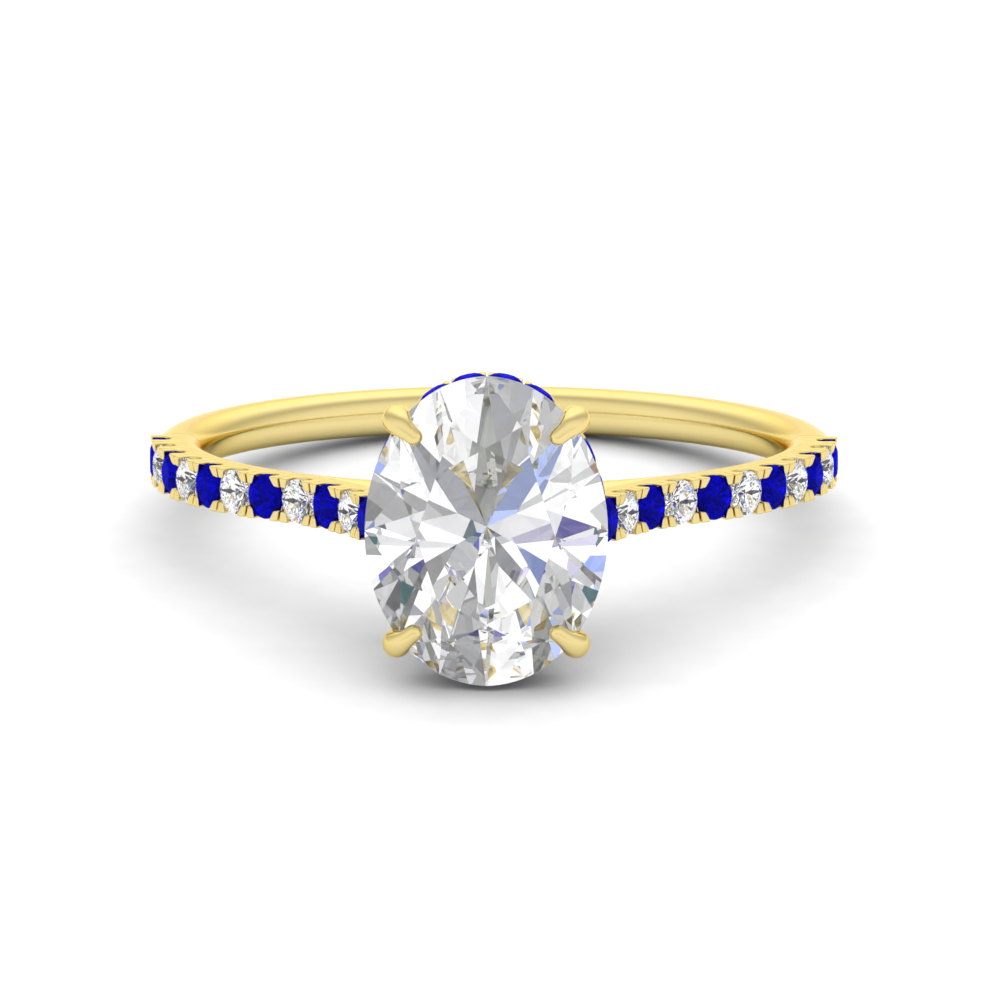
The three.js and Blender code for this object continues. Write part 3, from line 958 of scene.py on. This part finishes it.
# From 0 opposite the lamp to 1 at it: a bright cap, a dark rim, a pale wall, a dimmer front.
SEEN_SKY = [
    (0.0, (0.85, 0.85, 0.85)),
    (0.15, (0.95, 0.95, 0.95)),
    (0.3, (1.12, 1.12, 1.12)),
    (0.45, (1.18, 1.18, 1.18)),
    (0.62, (1.08, 1.08, 1.08)),
    (0.7, (0.92, 0.92, 0.92)),
    (0.77, (0.76, 0.76, 0.76)),
    (0.82, (0.7, 0.7, 0.7)),
    (0.865, (0.88, 0.88, 0.88)),
    (0.905, (1.15, 1.15, 1.15)),
    (0.95, (1.5, 1.5, 1.5)),
]
# By the height of the direction: 0 at the horizon, 1 overhead.
FLOOR_SKY = [
    (0.0, (0.38, 0.38, 0.38)),
    (0.35, (0.46, 0.46, 0.46)),
    (0.7, (1.75, 1.75, 1.75)),
    (1.0, (1.9, 1.9, 1.9)),
]
# By a panel's own number.
GEM_SKY = [
    (0.0, (1.35, 1.35, 1.35)),
    (0.34, (0.6, 0.6, 0.61)),
    (0.5, (0.4, 0.4, 0.4)),
    (0.62, (0.36, 0.5, 1.1)),
    (0.65, (0.8, 0.76, 1.0)),
    (0.71, (0.24, 0.27, 0.15)),
    (0.76, (0.62, 0.38, 0.24)),
    (0.79, (0.3, 0.3, 0.31)),
    (0.88, (0.13, 0.2, 0.25)),
    (0.94, (0.03, 0.2, 0.22)),
    (0.97, (0.07, 0.05, 0.45)),
]


def make_world():
    """Three studio skies: one for reflections, one that lights the floor, and one of panels,
    mostly white, that the stones gather."""
    world = bpy.data.worlds.new("studio")
    bpy.context.scene.world = world
    world.use_nodes = True
    nodes, links = world.node_tree.nodes, world.node_tree.links
    direction = nodes.new("ShaderNodeTexCoord").outputs["Generated"]
    parts = nodes.new("ShaderNodeSeparateXYZ")
    links.new(direction, parts.inputs[0])
    lamp = nodes.new("ShaderNodeVectorMath")
    lamp.operation = "DOT_PRODUCT"
    lamp.inputs[1].default_value = LAMP_AIM
    links.new(direction, lamp.inputs[0])
    nearness = math_node(nodes, links, "MULTIPLY_ADD", lamp.outputs["Value"], 0.5, 0.5)
    seen = ramp(nodes, links, nearness, SEEN_SKY)
    floor = ramp(nodes, links, parts.outputs["Z"], FLOOR_SKY)
    cells = nodes.new("ShaderNodeTexVoronoi")
    cells.inputs["Scale"].default_value = 7.0
    links.new(direction, cells.inputs["Vector"])
    pick = nodes.new("ShaderNodeSeparateColor")
    links.new(cells.outputs["Color"], pick.inputs[0])
    gems = ramp(nodes, links, pick.outputs[0], GEM_SKY, "CONSTANT")

    backgrounds = []
    for colour in (seen, floor, gems):
        background = nodes.new("ShaderNodeBackground")
        links.new(colour, background.inputs["Color"])
        backgrounds.append(background.outputs[0])
    ray = nodes.new("ShaderNodeLightPath")
    result = backgrounds[0]
    for kind, other in (("Is Diffuse Ray", backgrounds[1]), ("Is Transmission Ray", backgrounds[2])):
        result = mix_shaders(nodes, links, ray.outputs[kind], result, other)
    links.new(result, nodes["World Output"].inputs["Surface"])


# ------------------------------------------------------------------ the ring
def ring_planes(planes):
    """The centre stone's facet planes in the ring's frame, as (normal, reach)."""
    length, width = CENTRE["half_length"], CENTRE["half_width"]
    turned = []
    for normal, reach in planes:
        stretched = np.array([normal[0] / length, normal[1] / width, normal[2]])
        size = np.linalg.norm(stretched)
        along, across, up = stretched / size
        in_ring = np.array([across, -up, along])
        turned.append((in_ring, reach / size - in_ring[1] * CENTRE["height"]))
    return turned


def set_up_render():
    """Standard colours, and enough bounces for light to find its way out of the stones."""
    scene = bpy.context.scene
    scene.view_settings.view_transform = "Standard"
    scene.cycles.max_bounces = 24
    scene.cycles.transmission_bounces = 24
    scene.cycles.glossy_bounces = 24
    scene.cycles.caustics_reflective = False
    scene.cycles.caustics_refractive = False


def small_cut(radius, crown, pavilion, girdle):
    """A shoulder or halo stone, scaled to radius 1."""
    planes = brilliant_planes(crown / radius, pavilion / radius, girdle / radius, **SMALL_CUT)
    return cut_brilliant(planes, 48)


def set_centre_stone(planes, diamond):
    """The oval diamond: a round cut stretched along the finger."""
    cut = cut_brilliant(planes, 96)
    spot = ((0, -CENTRE["height"], 0), (0, 0, 1), (0, -1, 0))
    scale = (CENTRE["half_length"], CENTRE["half_width"], 1)
    set_stone("centre_diamond", cut, spot, scale, diamond, "diamond")


def make_shoulders(gold, sapphire, melee):
    """Both rows, sapphires and diamonds in turn from the head down."""
    cut = small_cut(**ROW_STONE)
    scale = (ROW_STONE["radius"],) * 3
    for side_name, side in (("left", -1), ("right", 1)):
        for i in range(ROW_STONES):
            kind = "sapphire" if i % 2 == 0 else "diamond"
            spot = row_stone_spot((ROW_STONES - 1 - i) * ROW_PITCH, side)
            name = f"{side_name}_{kind}_{i // 2 + 1}"
            material = sapphire if kind == "sapphire" else melee
            set_stone(name, cut, spot, scale, material, kind)
        make_row(side_name, side, gold)


def make_halo(planes, gold, sapphire):
    """The halo's sapphires and their rail."""
    cut = small_cut(**HALO_STONE)
    scale = (HALO_STONE["radius"],) * 3
    for i, distance in enumerate(HALO_STONES):
        spot = halo_stone_spot(distance)
        set_stone(f"halo_sapphire_{i + 1:02d}", cut, spot, scale, sapphire, "sapphire")
    make_halo_rail(planes, gold)


def main():
    make_camera()
    set_up_render()
    gold = gold_material()
    diamond = gem_material(
        "diamond_cut", 2.2, DIAMOND_SKIN, DIAMOND_PAINTED_FACETS, DIAMOND_SHEEN, 0.004, DIAMOND_SHADE
    )
    melee = gem_material(
        "diamond_melee", 2.2, DIAMOND_SKIN, MELEE_PAINTED_FACETS, DIAMOND_SHEEN, 0.004, DIAMOND_SHADE
    )
    sapphire = gem_material(
        "sapphire_cut", 1.77, SAPPHIRE_SKIN, SAPPHIRE_PAINTED_FACETS, SAPPHIRE_SHEEN, 0.006, SAPPHIRE_SHADE
    )

    crown, pavilion, girdle = CENTRE["crown"], CENTRE["pavilion"], CENTRE["girdle"]
    centre_planes = brilliant_planes(crown, pavilion, girdle, **CENTRE_CUT)
    set_centre_stone(centre_planes, diamond)
    make_shoulders(gold, sapphire, melee)
    planes = ring_planes(centre_planes)
    make_halo(planes, gold, sapphire)

    plain = (FINGER_RADIUS, BAND_OUTER_RADIUS, BAND_WIDTH, BAND_CORNER)
    make_hoop("plain_back", gold, *plain, PLAIN_START, 2 * math.pi - PLAIN_START)
    bridge = (BRIDGE_INNER_RADIUS, BRIDGE_OUTER_RADIUS, BRIDGE_WIDTH, BRIDGE_CORNER)
    make_hoop("bridge", gold, *bridge, -BRIDGE_END, BRIDGE_END, thin_ends=BRIDGE_THINNING)
    make_base_rail(gold)

    claws = {
        "claw_right_upper": CLAW_DISTANCE,
        "claw_left_upper": 2 * HALO_QUARTER - CLAW_DISTANCE,
        "claw_left_lower": 2 * HALO_QUARTER + CLAW_DISTANCE,
        "claw_right_lower": 4 * HALO_QUARTER - CLAW_DISTANCE,
    }
    for name, distance in claws.items():
        make_claw(name, distance, planes, gold)

    make_floor()
    make_world()


main()
